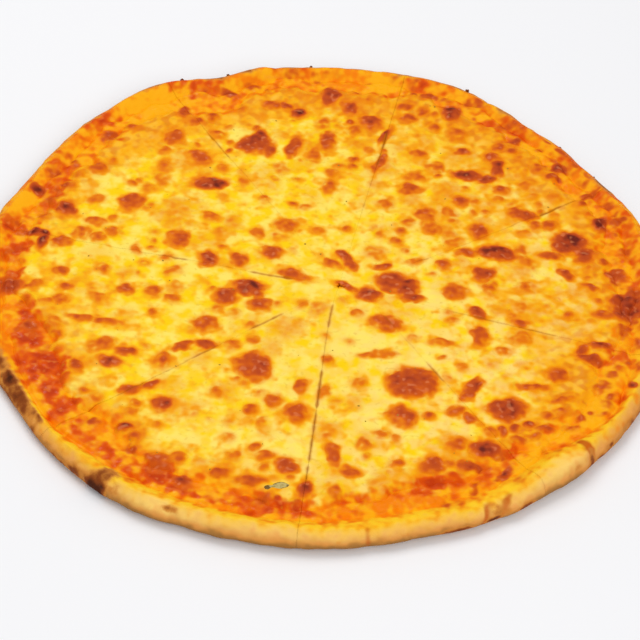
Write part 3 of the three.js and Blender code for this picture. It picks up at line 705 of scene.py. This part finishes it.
def cheeseFinish():
    look = cheeseLook
    f = Finish("meltedCheese", Specular_IOR_Level=0.06, Roughness=0.45, Coat_Roughness=0.35)
    brown, halo, toast, lip, groove = f.traits("brown", "halo", "toast", "lip", "groove")
    pale, rim, blush, red, oil = f.traits("pale", "rim", "blush", "red", "oil")
    broad, fine, grain, cloud = (f.noise(name) for name in ("broad", "fine", "cheeseGrain", "cloud"))
    mottled = broad * 0.5 + f.noise("mottle") * 0.5 - pale * 0.16
    ground = f.blend(mottled.step(0.36, 0.60), look["cream"], look["yellow"])
    ground = f.blend(blush * f.noise("blush").step(0.62, 0.36) * 0.75, ground, look["blush"])
    ground = f.blend(lip * 0.6, ground, look["blush"])
    baked = toast * 1.5 + (cloud - 0.5) * 1.2 - pale * 0.3
    ground = f.blend(baked.step(0.10, 0.95) * 0.85, ground, look["baked"])
    warm = halo * 0.85 + toast * 0.6 + (fine - 0.5) * 0.5 + (cloud - 0.5) * 2.2 - pale * 0.3
    colour = f.blend(warm.step(0.12, 0.95), ground, look["gold"])
    colour = f.blend((warm + (fine - 0.5) * 0.5).step(0.62, 1.50) * 0.85, colour, brownLook["orange"])
    mottle = (f.noise("baked") + toast * 0.22).step(0.58, 0.88)
    colour = f.blend(mottle * toast.step(0.1, 0.7) * 0.5, colour, brownLook["red"])
    soaked = rim + (fine - 0.5) * 0.6 + (cloud - 0.5) * 1.1 + red * 0.35 + oil * 0.2
    colour = f.blend(soaked.step(0.26, 0.92), colour, ringColour(f, broad, fine))
    colour = f.blend(f.noise("specks").step(0.64, 0.84) * 0.25, colour, look["speck"])
    colour, paintedHighlight = browned(f, colour, brown, fine, 1 - soaked.step(0.1, 0.8) * 0.85)
    # painted shade along the cuts, strongest where they stand open
    colour = f.blend((groove * 1.2 + (fine - 0.5) * 0.45).step(0.08, 1.0) * 0.72, colour, look["groove"])
    height = fine * 0.3 + grain * 0.06 + (grain * brown) * 0.12
    return f.finish(Base_Color=colour, Coat_Weight=paintedHighlight * 0.15, Normal=f.bump(height, 1.0))


def rounded(toEdge, wide):
    # a layer's edge as a quarter circle
    return np.sqrt(np.clip(1 - (1 - np.clip(toEdge / wide, 0, 1)) ** 2, 0, 1))


def cheeseTop(x, y, toEdge, toCut, opening):
    # height of the cheese over its underside
    full = smooth(toEdge, 0, cheese["edgeIn"])
    swell = 0.16 * np.sin(x / 9 + 0.6) * np.cos(y / 11) + 0.12 * np.sin((x - y) / 17)
    lumps = layered(0, x, y, "cheese")
    thick = cheese["edgeThick"] + (cheese["thick"] + swell - cheese["edgeThick"]) * full
    thick = thick + lumps * (0.3 + 0.7 * full)
    look = cheeseLook
    thick = (thick + readField("rise", x, y)) * rounded(toEdge, look["round"])
    dip = (look["dip"] + look["dipOpen"] * opening) * smooth(toCut, look["dipOver"], 0.0)
    return thick - dip * np.clip(toEdge / 3, 0, 1)


def cutOpen(k, across, away):
    # how plainly the nearer cut shows, from 0 where it melted shut to 1
    fade = pizza["cutFade"]
    sides = []
    for side in (k, (k + 1) % sliceCount):
        shows = np.zeros_like(away)
        for start, end, amount in cutSpans[side]:
            span = smooth(away, start - fade, start + fade) * smooth(away, end + fade, end - fade)
            shows = np.maximum(shows, amount * span)
        sides.append(shows * layered(1, away, side * 37.0 + 0 * away, "cut"))
    return np.where(across < 0.5, *sides)


def makeCheese(k):
    look = cheeseLook
    across = np.linspace(0, 1, look["cols"])
    across = across - look["bunch"] * np.sin(2 * np.pi * across)
    edge = awayTo(k, across, look["tipGap"], lambda angle: vary(cheeseEdgeAt(angle), "cheeseEdge", angle))
    tip = tipAway(k, look["tipGap"])
    under = [*np.linspace(0, look["underTo"], look["underRows"]), look["underLast"]]
    inward = np.linspace(0, 1, look["rows"]) ** look["crowd"]
    away = np.concatenate([rowsBetween(tip, edge, under), rowsBetween(tip, edge, 1 - inward)])
    grid = np.broadcast_to(across, away.shape)
    opening = cutOpen(k, grid, away)
    x, y = slicePoint(k, grid, away, look["shut"] + look["open"] * opening)
    toEdge = edge[None] - away
    spread = cutHeading(k + 1, away) - cutHeading(k, away)
    toCut = np.minimum(grid, 1 - grid) * spread * away
    base = cheeseBottom + liftAt(np.hypot(x, y), angleOf(x, y))
    base = base - look["sink"] * smooth(toEdge, look["sinkOver"], 0)
    z = base + np.maximum(cheeseTop(x, y, toEdge, toCut, opening), 0)
    z[: len(under)] = base[: len(under)]
    # toasted towards the edge, the back and the right
    toast = 0.5 * smooth(toEdge, 26, 1) + 0.35 * smooth(y, 10, 120) + 0.3 * smooth(x, 20, 120)
    traits = readFields(x, y, "halo", "pale")
    traits.update({
        "toast": layered(toast, x, y, "toast"),
        "lip": hill(toCut, look["lipOver"]) * smooth(toEdge, 2, 14) * (0.1 + 0.9 * opening),
        # where painted shade goes along the cuts
        "groove": opening * hill(toCut, look["grooveOver"]),
        "rim": smooth(toEdge, look["soakOver"], -1),
        "blush": np.clip(0.3 + (x - 0.5 * y) / 160, 0, 1),
    })
    mesh = sliceMesh(f"cheese_slice_{k + 1}", x, y, z, len(under), traits)
    addPiece(mesh.name, mesh, "cheese", [cheeseMaterial] * 2, f"cheese_{k + 1}")


sauceLook = {
    "cols": 170, "rows": 46, "under": (0, 0.85, 0.93, 0.96, 0.99), "inner": (0.66, 0.33, 0), "crowd": 1.3,
    "inward": 26, "sink": 0.6, "gap": 0.015, "round": 2.2, "lump": 0.3, "closer": 0.15, "clear": 0.1,
}


def sauceFinish():
    f = Finish("tomatoSauce", Specular_IOR_Level=0.06, Roughness=0.4, Coat_Roughness=0.25)
    brown, red = f.traits("brown", "red")
    broad, fine, grain = f.noise("broad"), f.noise("fine"), f.noise("cheeseGrain")
    colour, paintedHighlight = browned(f, ringColour(f, broad, fine), brown, fine, 0.15)
    wet = f.noise("wet").step(0.60, 0.80) * (0.1 + red * 0.3)
    bump = f.bump(fine * 0.6 + grain * 0.08, 1.0)
    return f.finish(Base_Color=colour, Coat_Weight=wet.top(paintedHighlight * 0.2), Normal=bump)


def slopeUp(q):
    # the rim's inner slope, from its foot at 0 to its crest at 1
    return 0.5 * smooth(q, 0, 1) + 0.5 * (1 - (1 - np.clip(q, 0, 1)) ** 2)


def slopeEnds(angle):
    return outlineAt(angle) - rimAt(angle), outlineAt(angle) - dough["crestIn"]


def doughTop(radius, angle):
    foot, crest = slopeEnds(angle)
    level = doughFloor + liftAt(radius, angle)
    return level + (crestAt(angle) - level) * slopeUp((radius - foot) / (crest - foot))


def sauceEdgeAt(angle):
    foot, crest = slopeEnds(angle)
    return foot + (crest - foot) * (sauce["lap"] + vary(0, "sauceEdge", angle))


def makeSauce(k):
    look = sauceLook
    across = np.linspace(0, 1, look["cols"])
    edge = awayTo(k, across, look["gap"], sauceEdgeAt)
    tip = tipAway(k, look["gap"])
    inward = look["inward"] * np.linspace(0, 1, look["rows"]) ** look["crowd"]
    away = np.concatenate([
        rowsBetween(tip, edge, look["under"]), edge[None] - inward[:, None],
        rowsBetween(tip, edge - look["inward"], look["inner"]),
    ])
    grid = np.broadcast_to(across, away.shape)
    x, y = slicePoint(k, grid, away, look["gap"])
    radius, angle = np.hypot(x, y), angleOf(x, y)
    toEdge = edge[None] - away
    base = doughTop(radius, angle) + restGap - look["closer"] - look["sink"] * smooth(toEdge, 2.5, 0)
    bare = smooth(radius - cheeseEdgeAt(angle), -2.5, 0.5)  # thicker and lumpy where no cheese presses on it
    lumps = layered(0, x, y, "sauce") + look["lump"]
    thick = sauce["thick"] * rounded(toEdge, look["round"])
    thick = thick * (0.9 + bare * 0.25) + bare * lumps * smooth(toEdge, 0, 3)
    thick = thick + bare * 0.6 * np.maximum(readField("rise", x, y), 0) * smooth(toEdge, 0, 2)
    z = base + thick
    under = len(look["under"])
    z[:under] = base[:under]
    lid = cheeseBottom + liftAt(radius, angle) - look["clear"]
    z = np.where(radius < cheeseEdgeAt(angle) - 3, np.minimum(z, lid), z)
    mesh = sliceMesh(f"sauce_slice_{k + 1}", x, y, z, under, readFields(x, y))
    addPiece(mesh.name, mesh, "sauce", [sauceMaterial] * 2, f"sauce_{k + 1}")


# In the dough a turn is the place round the rim's section: 0 underside, 0.5 lip, 1 bulge, 1.5 upper face,
# 2 crest, 3 inner foot.
doughLook = {
    "cols": 200, "round": 46, "slope": 18, "lump": 0.5, "gapIn": 0.05, "gapRim": 0.015, "turnUnder": -0.4,
    "turnFloor": 3.2,
    "under": (0, 0.4, 0.8, 0.93), "inner": (0.97, 0.94, 0.9, 0.87, 0.83, 0.8, 0.75, 0.5, 0.25, 0),
    # cream is the painted highlight on the rim's upper face; toast and crustEdge darken its lower face, part
    # toasted dough and part painted shade
    "cream": srgb(255, 209, 110), "yellow": srgb(255, 204, 34), "gold": srgb(250, 160, 14),
    "tan": srgb(242, 168, 84), "crustEdge": srgb(150, 106, 52), "toast": srgb(212, 134, 52),
    "rust": srgb(196, 84, 8), "brown": srgb(140, 68, 22), "char": srgb(76, 32, 10),
    "crumb": srgb(250, 222, 160),
}
# Lumps of the rim's skin: how much, stretch over the rim, mm between them, seed.
rimLumps = [(0.7, 1.6, 9.0, 51), (0.4, 2, 3.7, 52)]
# Grooves across the rim: heading, half-width in degrees, depth in mm, slant.
creases = [
    (-80, 0.7, 0.5, 0), (-60.6, 0.8, 0.8, 1.0), (-57.9, 1.4, 0.8, 2.6), (-12, 0.9, 0.6, 0),
    (101, 1.0, 0.6, 0), (60, 0.9, 0.5, 0),
]
# Char on the rim: heading, half-width in degrees, turn, half-width there, strength.
charMarks = [
    (-151.5, 2.6, 1.85, 0.45, 1.15), (-147.3, 3.4, 1.65, 0.6, 0.98), (-144.6, 1.8, 1.6, 0.5, 0.8),
    (-142.9, 1.5, 1.8, 0.4, 0.66), (-141, 1.2, 1.95, 0.25, 0.72), (-140.8, 1.5, 1.25, 0.45, 0.75),
    (-156, 3, 1.8, 0.5, 0.8), (-150, 8, 1.1, 0.5, 0.7), (-139, 3, 0.9, 0.3, 0.6), (-133, 4, 1.0, 0.3, 0.7),
    (-129.5, 2.5, 1.15, 0.4, 0.8), (-121.5, 1.2, 1.6, 0.35, 0.4), (-59.1, 1.5, 0.95, 0.3, 1.4),
    (-58.2, 2.2, 1.45, 0.6, 0.42), (-65.5, 2.8, 0.95, 0.26, 1.15), (-53.3, 1.6, 0.98, 0.26, 1.05),
    (-42.6, 1.0, 1.3, 0.22, 0.3), (-112.1, 1.6, 1.75, 0.2, 0.55), (-36, 4, 0.9, 0.35, 0.8),
    (-33.9, 0.8, 1.2, 0.2, 0.9), (-28.7, 1.8, 1.1, 0.3, 0.6), (-27, 5, 1.0, 0.4, 0.75),
    (-18, 5, 1.1, 0.4, 0.75), (-8, 5, 1.0, 0.4, 0.6), (30, 3, 1.7, 0.4, 0.7), (56, 2, 1.9, 0.35, 0.55),
    (112, 2.5, 1.75, 0.35, 0.9), (106, 2, 1.9, 0.3, 0.7), (98, 2, 1.8, 0.3, 0.6), (125, 3, 1.7, 0.35, 0.6),
    (138, 4, 1.5, 0.5, 0.45), (170, 6, 0.8, 0.5, 0.5), (76, 3, 1.8, 0.35, 0.5), (8, 5, 1.0, 0.5, 0.5),
    (90, 60, 1.62, 0.25, 0.5), (165, 20, 1.3, 0.4, 0.4),
]
# The blackest place: the headings where it starts and ends, how strong on the face and on the crest, and how
# far it slants.
burn = {"from": -128.6, "dark": -125.6, "end": -122.8, "soft": 0.9, "face": 1.2, "crest": 0.7, "slant": 2.6}
# Where the rim takes more painted highlight in its cream band, where it baked dusky, and how far the oil and
# sauce
# soaked over it: heading, amount, half-width.
paintedRimHighlight = [(-44, 1.0, 3.5), (-114, 0.7, 7), (-95, 0.3, 8), (-59.8, 0.6, 0.8), (-50, 0.4, 3)]
duskyRim = [(-147, 1.0, 14), (-130, 0.6, 8), (-30, 0.9, 9), (-12, 0.9, 18), (-70, 0.3, 8)]
soaking = [
    (95, 1.0, 62), (30, 0.9, 30), (150, 0.8, 30), (-180, 0.9, 13), (-158, 0.5, 8), (5, 0.5, 16),
    (-20, 0.25, 14),
]
# The fold: shade and shadeAt place painted shade in the gap before its rounded end, and char is how strongly
# that shade goes in as char.
fold = {
    "at": -39.7, "soft": 0.75, "out": 1.2, "up": 1.5, "wide": 9, "shade": 0.85, "shadeAt": 0.9, "char": 0.85,
}


def doughFinish():
    look = doughLook
    f = Finish("bakedDough", Specular_IOR_Level=0.08, Roughness=0.6)
    turn, char, soaked, brown = f.traits("turn", "char", "soaked", "brown")
    crease, pale, dusky = f.traits("crease", "pale", "dusky")
    broad, fine, grain, patch = (f.noise(name) for name in ("broad", "fine", "crustGrain", "cloud"))
    uneven = (broad * 0.6 + fine * 0.4 - 0.5) * 1.4 + (patch - 0.5) * 1.2
    # a cream band of painted highlight on the upper face, where the light falls on the roll
    paintedHighlightBand = (turn + uneven * 0.7).step(1.10, 1.80) * (0.66 + pale * 0.5 - dusky * 0.75 + (patch - 0.5) * 0.7)
    face = f.blend(paintedHighlightBand, look["tan"], look["cream"])
    top = f.blend((patch + (fine - 0.5) * 0.3).step(0.32, 0.90), look["yellow"], look["gold"])
    colour = f.blend((turn + uneven * 0.6 - pale * 0.4).step(1.35, 2.2), face, top)
    # darker towards the underside: part toasted dough, part painted shade that rounds the roll
    foot = (1.78 - turn) * 1.4 + (fine - 0.5) * 0.4 + (broad - 0.5) * 0.8 + dusky * 0.3
    colour = f.blend(foot.step(0.05, 1.0) * 0.7, colour, look["toast"])
    edge = (1.42 - turn) * 2.4 + (fine - 0.5) * 0.6 + (broad - 0.5) * 1.4 + dusky * 0.35
    colour = f.blend(edge.step(0.10, 1.1) * 0.85, colour, look["crustEdge"])
    wet = turn.step(2.0, 3.0) * 0.9 + soaked * turn.step(0.9, 1.7) + (fine - 0.5) * 0.6 + (patch - 0.5) * 0.8
    colour = f.blend(wet.step(0.15, 0.85), colour, ringColour(f, broad, fine))
    rusty = crease + (fine - 0.5) * 0.5 + (patch - 0.5) * 0.3
    colour = f.blend(rusty.step(0.08, 0.90) * 0.9, colour, look["rust"])
    colour, paintedHighlight = browned(f, colour, brown, fine, 0.3)
    burnt = char + ((fine - 0.5) * 0.6 + (grain - 0.5) * 0.25) * char.step(0.0, 0.25)
    for start, end, name in ((0.06, 0.50, "toast"), (0.36, 0.85, "brown"), (0.80, 1.25, "char")):
        colour = f.blend(burnt.step(start, end), colour, look[name])
    return f.finish(Base_Color=colour, Normal=f.bump(fine * 0.35 + grain * 0.12, 1.0))


def crumbFinish():
    f = Finish("breadCrumb", Roughness=0.85, Specular_IOR_Level=0.25)
    pores = f.noise("pores")
    colour = f.blend(pores.step(0.35, 0.7), doughLook["crumb"], doughLook["tan"])
    return f.finish(Base_Color=colour, Normal=f.bump(pores, 0.8))


def throughPoints(points, t):
    # a smooth line through points, each an array over the columns; t counts the points from 0
    i = np.clip(np.floor(t).astype(int), 0, len(points) - 2)
    f = (t - i)[:, None]
    p = np.stack([points[0], *points, points[-1]])
    a, b, c, d = p[i], p[i + 1], p[i + 2], p[i + 3]
    return 0.5 * (2 * b + (c - a) * f + (2 * a - 5 * b + 4 * c - d) * f**2 + (3 * b - a - 3 * c + d) * f**3)


def pastFold(angle, turn):
    # degrees from the fold, whose heading drifts as it goes over the rim
    lean = np.where(turn > 1.5, 0.5 * (turn - 1.5), -1.2 * (turn - 1.5) ** 2)
    return apart(angle - lean, fold["at"])


def foldAt(angle, turn):
    # the thick front roll of the rim ends here in a rounded nose, and the rim goes on lower behind it
    past = pastFold(angle, turn)
    before = 1 / (1 + np.exp(np.clip(past / fold["soft"], -30, 30)))
    return (before - 0.35) * hill(past, fold["wide"]) * smooth(turn, 3.1, 2.3)


def rimSection(angle):
    # for each heading the rim's skin from the underside out and over: mm in from the outline, height, turn
    look = doughLook
    high = crestAt(angle)
    flat = 0 * high
    ends = [
        (dough["footIn"], flat), (dough["curlIn"], flat), (dough["lipIn"], flat + dough["lipUp"]),
        (0, flat + dough["bulgeUp"]), (dough["shoulderIn"], dough["shoulder"] * high),
        (dough["crestIn"], high),
    ]
    t = np.linspace(1, len(ends) - 1, look["round"])
    inset = throughPoints([np.full_like(high, i) for i, _ in ends], t)
    height = throughPoints([z for _, z in ends], t)
    q = np.linspace(1, 0, look["slope"])[1:, None]
    slopeIn = dough["crestIn"] + (rimAt(angle) - dough["crestIn"]) * (1 - q)
    slopeLow = doughFloor + liftAt(outlineAt(angle)[None] - slopeIn, angle[None])
    inset = np.concatenate([inset, slopeIn])
    height = np.concatenate([height, slopeLow + (high - slopeLow) * slopeUp(q)])
    turn = np.concatenate([np.linspace(0, 2, look["round"]), 2 + (1 - q[:, 0])])
    turn = turn[:, None] * np.ones_like(inset)
    folded = foldAt(angle[None], turn)
    height = height + fold["up"] * folded * smooth(turn, 0.5, 1.7)
    return inset - fold["out"] * folded * smooth(turn, 0.1, 0.8), height, turn


def pushSkin(angle, inset, height, turn):
    # lumps and creases push the rim's skin out from its core and in
    arc = np.radians(angle)[None] * pizza["radius"] + 900
    lumps = 0
    for amount, stretch, size, seed in rimLumps:
        lumps = lumps + amount * softNoise(arc, height * stretch + inset, size, seed)
    push = doughLook["lump"] * lumps * smooth(turn, 0.25, 0.8) * smooth(turn, 3.0, 2.3)
    for at, wide, deep, slant in creases:
        groove = bell(angle[None] - slant * (turn - 1.2), at, wide)
        push = push - deep * groove * smooth(turn, 0.5, 1.0) * smooth(turn, 2.6, 2.0)
    fromCore, overCore = inset - dough["coreIn"], height - dough["coreUp"]
    length = np.hypot(fromCore, overCore)
    height = np.maximum(height + push * overCore / length, 0)
    height = height - dough["flattenBy"] * np.maximum(height - dough["flatten"], 0)
    return inset + push * fromCore / length, height


def charAt(heading, turn):
    char = np.zeros_like(turn)
    for at, wide, level, width, strength in charMarks:
        char = np.maximum(char, strength * bell(heading, at, wide) * hill(turn - level, width))
    drift = burn["slant"] * smooth(turn, 1.2, 2.3)
    scorch = smooth(heading, burn["from"] + drift, burn["dark"] + 0.6 * drift)
    scorch = scorch * smooth(heading, burn["end"] + burn["soft"] + 0.3 * drift, burn["end"] - burn["soft"])
    strength = burn["crest"] + (burn["face"] - burn["crest"]) * smooth(turn, 1.75, 1.25)
    return np.maximum(char, scorch * smooth(turn, 3.1, 2.3) * strength)


def rimTraits(heading, turn, x, y):
    # painted shade in the gap before the fold's rounded end, laid in as char and as crease rust
    nose = hill(pastFold(heading, turn) - fold["shadeAt"], fold["shade"])
    nose = nose * smooth(turn, 0.3, 0.8) * smooth(turn, 2.9, 2.4)
    crease = 0
    for at, wide, deep, slant in creases:
        crease = crease + min(deep, 1) * bell(heading - slant * (turn - 1.2), at, 0.8 * wide)
    traits = readFields(x, y)
    traits["brown"] = traits["brown"] * smooth(turn, 1.6, 2.2)
    traits.update({
        "turn": turn,
        "char": np.maximum(charAt(heading, turn), fold["char"] * smooth(turn, 2.1, 1.2) * nose),
        "crease": np.maximum(crease * smooth(turn, 0.3, 1.0) * smooth(turn, 2.5, 1.9), 1.1 * nose),
        # pale sets how much painted highlight the rim's cream band takes
        "pale": around(paintedRimHighlight, heading),
        "dusky": around(duskyRim, heading),
        "soaked": np.clip(around(soaking, heading), 0, 1),
    })
    return traits


def makeDough(k):
    look = doughLook
    across = np.linspace(0, 1, look["cols"])
    outAway = awayTo(k, across, look["gapRim"], outlineAt)
    angle = angleOf(*slicePoint(k, across, outAway, look["gapRim"]))  # heading of each column's outer end
    inset, height, turn = rimSection(angle)
    inset, height = pushSkin(angle, inset, height, turn)
    outer = outAway[None] - inset
    tip = tipAway(k, look["gapIn"])
    under, inner = rowsBetween(tip, outer[0], look["under"]), rowsBetween(tip, outer[-1], look["inner"])
    away = np.concatenate([under, outer, inner])
    turn = [np.full_like(under, look["turnUnder"]), turn, np.full_like(inner, look["turnFloor"])]
    turn = np.concatenate(turn)
    grid = np.broadcast_to(across, away.shape)
    closing = smooth(away - outAway[None], -20, -8)
    x, y = slicePoint(k, grid, away, look["gapIn"] + (look["gapRim"] - look["gapIn"]) * closing)
    floor = doughFloor + liftAt(np.hypot(x, y), angleOf(x, y))[-len(inner):]
    z = np.concatenate([np.zeros_like(under), height, floor])
    traits = rimTraits(np.broadcast_to(angle, away.shape), turn, x, y)
    mesh = sliceMesh(f"dough_slice_{k + 1}", x, y, z, len(under), traits)
    addPiece(mesh.name, mesh, "dough", [doughMaterial, crumbMaterial], f"dough_{k + 1}")


cheeseMaterial = cheeseFinish()
sauceMaterial = sauceFinish()
doughMaterial = doughFinish()
crumbMaterial = crumbFinish()
for number in range(sliceCount):
    makeDough(number)
    makeSauce(number)
    makeCheese(number)
    print("slice", number + 1, "made")

herbLook = {
    "x": -12.2, "y": -121, "long": 10.2, "wide": 3.9, "thick": 0.22, "turn": 8, "bow": 0.5, "steps": 28,
    "rows": 10, "tip": 0.12, "waist": 0.42, "waistAt": -0.42, "waistLong": 0.16, "over": 0.16,
    "droop": 0.2, "wave": 0.12, "tornAt": -0.8, "tornLong": 0.3,
    "pale": srgb(196, 176, 108), "green": srgb(150, 130, 68), "edge": srgb(116, 84, 32),
}
flecks = {
    "count": 60, "seed": 5, "small": 0.3, "large": 0.6, "slim": 0.4, "stout": 0.9, "flat": 0.25, "inside": 3,
    "green": srgb(178, 140, 40),
}
bits = {"wide": 0.8, "high": 0.7, "rough": 0.3}
# Burnt bits at the rim's edge.
crustBits = [
    # heading, mm past the outline, size, height
    (118.1, -0.8, 1.0, 7.3), (64.5, -1.3, 0.9, 7.0), (42.5, -1.1, 0.8, 6.6), (33, -1.2, 0.8, 6.4),
    (109.7, -1.4, 0.8, 7.8), (93.8, -1.2, 0.7, 7.4), (150, -1.2, 0.6, 5.8), (28, -1.3, 0.6, 6.3),
]


def topOfCheese(x, y):
    x, y = np.array(x), np.array(y)
    radius, angle = np.hypot(x, y), angleOf(x, y)
    toEdge = cheeseEdgeAt(angle) - radius
    farFromCut = np.full_like(x, 5.0)
    return float(cheeseBottom + liftAt(radius, angle) + cheeseTop(x, y, toEdge, farFromCut, 0))


def herbFinish():
    look = herbLook
    f = Finish("driedHerb", Specular_IOR_Level=0.2, Roughness=0.6)
    [edge] = f.traits("edge")
    veins = f.noise("veins")
    colour = f.blend((edge * 0.6 + (veins - 0.5) * 2.4).step(0.0, 0.6), look["pale"], look["green"])
    colour = f.blend((edge + (veins - 0.5) * 1.4).step(0.45, 1.0), colour, look["edge"])
    return f.finish(Base_Color=colour, Normal=f.bump(veins, 0.4))


def makeHerb():
    # a torn leaf of two lobes that lies half melted into the cheese
    look = herbLook
    turn = math.radians(look["turn"])
    bm = bmesh.new()
    bmesh.ops.create_grid(bm, x_segments=look["steps"], y_segments=look["rows"], size=1)
    edges = bm.verts.layers.float.new("edge")
    for v in bm.verts:
        along, across = v.co.x, v.co.y
        half = (look["wide"] / 2) * (look["tip"] + (1 - look["tip"]) * math.sqrt(max(0, 1 - along * along)))
        half *= 1 - look["waist"] * math.exp(-(((along - look["waistAt"]) / look["waistLong"]) ** 2))
        torn = math.exp(-(((along - look["tornAt"]) / look["tornLong"]) ** 2))
        v[edges] = max(max(abs(along), abs(across)) ** 3, 1.1 * torn)
        x = look["long"] / 2 * along
        y = half * across + look["bow"] * math.sin(2.1 * along)
        px = look["x"] + x * math.cos(turn) - y * math.sin(turn)
        py = look["y"] + x * math.sin(turn) + y * math.cos(turn)
        z = topOfCheese(px, py) + look["over"] - look["droop"] * abs(across) ** 3
        z = z + look["wave"] * math.sin(4.2 * along) + look["wave"] * across * math.cos(2.6 * along)
        v.co = Vector((px, py, z)) * mm
    bmesh.ops.solidify(bm, geom=bm.faces[:], thickness=look["thick"] * mm)
    bmesh.ops.recalc_face_normals(bm, faces=bm.faces[:])
    addPiece("herb_leaf", meshOf("herb_leaf", bm), "herb", [herbFinish()], "herb_scrap")


def makeFlecks():
    # tiny flecks of dried herb, pressed into the cheese
    draw = random.Random(flecks["seed"])
    bm = bmesh.new()
    for _ in range(flecks["count"]):
        angle, size = draw.uniform(-180, 180), draw.uniform(flecks["small"], flecks["large"])
        x, y = pointAt(angle, (float(cheeseEdgeAt(angle)) - flecks["inside"]) * math.sqrt(draw.random()))
        made = bmesh.ops.create_icosphere(bm, subdivisions=1, radius=1)["verts"]
        wide = size * draw.uniform(flecks["slim"], flecks["stout"])
        shape = Vector((size, wide, size * flecks["flat"])) * mm
        bmesh.ops.scale(bm, vec=shape, verts=made)
        bmesh.ops.rotate(bm, matrix=Matrix.Rotation(draw.uniform(0, math.pi), 3, "Z"), verts=made)
        bmesh.ops.translate(bm, vec=Vector((x, y, topOfCheese(x, y))) * mm, verts=made)
    f = Finish("herbFleck", Roughness=0.7, Specular_IOR_Level=0.15, Base_Color=flecks["green"])
    addPiece("herb_flecks", meshOf("herb_flecks", bm), "herb", [f.material])


def makeCrustBits():
    # burnt bits that stick out at the rim's edge
    bm = bmesh.new()
    for heading, past, size, up in crustBits:
        made = bmesh.ops.create_icosphere(bm, subdivisions=3, radius=1)["verts"]
        for v in made:
            n = v.co.normalized()
            v.co = n * (1 + bits["rough"] * math.sin(5 * n.x + heading) * math.cos(4 * n.y + 2 * n.z))
        shape = Vector((size, size * bits["wide"], size * bits["high"])) * mm
        bmesh.ops.scale(bm, vec=shape, verts=made)
        spot = (*pointAt(heading, float(outlineAt(heading)) + past), up)
        bmesh.ops.translate(bm, vec=Vector(spot) * mm, verts=made)
    f = Finish("burntBit", Roughness=0.8, Specular_IOR_Level=0.15)
    f.finish(Base_Color=f.blend(f.noise("burntGrain"), doughLook["char"], doughLook["brown"]))
    addPiece("crust_bits", meshOf("crust_bits", bm), "dough", [f.material])


makeHerb()
makeFlecks()
makeCrustBits()
print("herb and crumbs made")

camera = {
    "lens": 137.57, "sensor": 36, "sees": 20, "away": 1070, "elevation": 45.01, "roll": 3.30,
    "targetX": 1.42, "targetY": -16.44,
}
room = {"floor": srgb(246, 246, 248), "size": 4.0, "sky": 0.50}
# Soft lights, in metres: place, width and depth, watts. They face the pizza.
lights = {
    "keyLight": ((-0.35, 0.55, 1.25), (1.1, 0.8), 8.6), "fillLight": ((0.5, -1.0, 0.9), (1.2, 0.8), 6.6),
}


def makeCamera():
    data = bpy.data.cameras.new("camera")
    data.lens = camera["lens"]
    data.sensor_width = camera["sensor"]
    data.clip_end = camera["sees"]
    made = bpy.data.objects.new("camera", data)
    target = Matrix.Translation(Vector((camera["targetX"], camera["targetY"], 0)) * mm)
    tilt = Matrix.Rotation(math.radians(90 - camera["elevation"]), 4, "X")
    roll = Matrix.Rotation(math.radians(camera["roll"]), 4, "Z")
    made.matrix_world = target @ tilt @ roll @ Matrix.Translation((0, 0, camera["away"] * mm))
    bpy.context.scene.collection.objects.link(made)
    bpy.context.scene.camera = made


def areaLight(name, spot, size, watts):
    data = bpy.data.lights.new(name, "AREA")
    data.shape = "RECTANGLE"
    data.size, data.size_y = size
    data.energy = watts
    made = bpy.data.objects.new(name, data)
    made.location = spot
    made.rotation_euler = Vector(spot).to_track_quat("Z", "Y").to_euler()
    bpy.context.scene.collection.objects.link(made)


def makeRoom():
    bm = bmesh.new()
    bmesh.ops.create_grid(bm, x_segments=1, y_segments=1, size=room["size"] / 2)
    mesh = meshOf("floor", bm, False)
    f = Finish("paleFloor", Roughness=0.6, Specular_IOR_Level=0.3, Base_Color=room["floor"])
    mesh.materials.append(f.material)
    floor = bpy.data.objects.new("floor", mesh)
    bpy.context.scene.collection.objects.link(floor)
    world = bpy.data.worlds.new("sky")
    world.use_nodes = True
    sky = world.node_tree.nodes["Background"].inputs
    sky["Color"].default_value = (1, 1, 1, 1)
    sky["Strength"].default_value = room["sky"]
    bpy.context.scene.world = world
    for name, settings in lights.items():
        areaLight(name, *settings)
    bpy.context.scene.view_settings.view_transform = "Standard"


makeCamera()
makeRoom()
print("room made")
